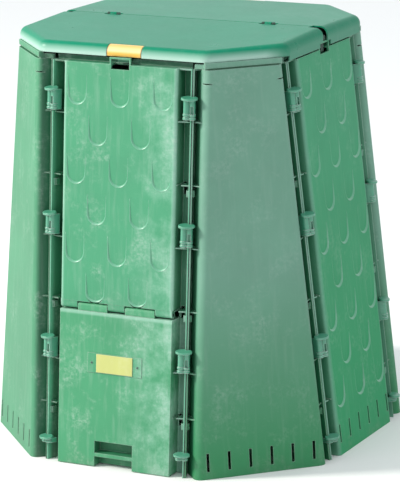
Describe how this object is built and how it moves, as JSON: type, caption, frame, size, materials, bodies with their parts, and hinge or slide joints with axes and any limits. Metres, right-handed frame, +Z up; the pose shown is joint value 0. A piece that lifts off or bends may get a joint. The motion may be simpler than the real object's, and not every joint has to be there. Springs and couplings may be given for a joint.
{
  "type": "compost bin",
  "caption": "Eight-sided tapered garden compost bin with clipped wall panels, a split hinged lid with latches and a hinged emptying flap.",
  "frame": {"origin": "middle of the footprint at ground level", "axes": "+Z up, the emptying flap faces -Y, +X to the right seen from the front"},
  "size_m": [0.968, 0.968, 1.0565],
  "materials": {
    "wall": "satin, weathered recycled plastic",
    "flap": "satin, weathered recycled plastic",
    "lid": "satin",
    "clip": "satin",
    "latch": "semi-gloss",
    "hook": "satin",
    "plate": "semi-gloss",
    "holder": "satin",
    "rivet": "satin",
    "pin": "satin"
  },
  "bodies": {
    "bin": {"rear_wall": "wall", "right_wall": "wall", "left_wall": "wall", "front_wall": "wall", "rear_right_corner": "wall", "rear_left_corner": "wall", "front_left_corner": "wall", "front_right_corner": "wall", "lid_crossbar": "lid", "front_wall_clips_a": "clip", "front_wall_clips_b": "clip", "right_wall_clips_a": "clip", "right_wall_clips_b": "clip", "rear_wall_clips_a": "clip", "rear_wall_clips_b": "clip", "left_wall_clips_a": "clip", "left_wall_clips_b": "clip", "flap_hinge_pin": "pin", "left_hinge_pin": "pin", "right_hinge_pin": "pin"},
    "front_lid": {"front_lid": "lid", "front_latch_pin": "pin"},
    "rear_lid": {"rear_lid": "lid", "rear_latch_pin": "pin"},
    "front_latch": {"front_latch": "latch", "front_latch_hook": "hook"},
    "rear_latch": {"rear_latch": "latch", "rear_latch_hook": "hook"},
    "flap": {"emptying_flap": "flap", "plate_holder": "holder", "name_plate": "plate", "plate_rivets": "rivet"}
  },
  "joints": [
    {"name": "front_lid_hinge", "type": "hinge", "parent": "bin", "child": "front_lid", "pos_m": [0, 0, 1.052], "axis": [-1, 0, 0], "range_deg": [0, 85]},
    {"name": "rear_lid_hinge", "type": "hinge", "parent": "bin", "child": "rear_lid", "pos_m": [0, 0, 1.052], "axis": [1, 0, 0], "range_deg": [0, 85]},
    {"name": "front_latch_pivot", "type": "hinge", "parent": "front_lid", "child": "front_latch", "pos_m": [0.005, -0.349, 1.031], "axis": [1, 0, 0], "range_deg": [0, 14]},
    {"name": "rear_latch_pivot", "type": "hinge", "parent": "rear_lid", "child": "rear_latch", "pos_m": [-0.005, 0.349, 1.031], "axis": [-1, 0, 0], "range_deg": [0, 14]},
    {"name": "flap_hinge", "type": "hinge", "parent": "bin", "child": "flap", "pos_m": [0, -0.4232, 0.4], "axis": [-1, 0, 0], "range_deg": [0, 85]}
  ]
}
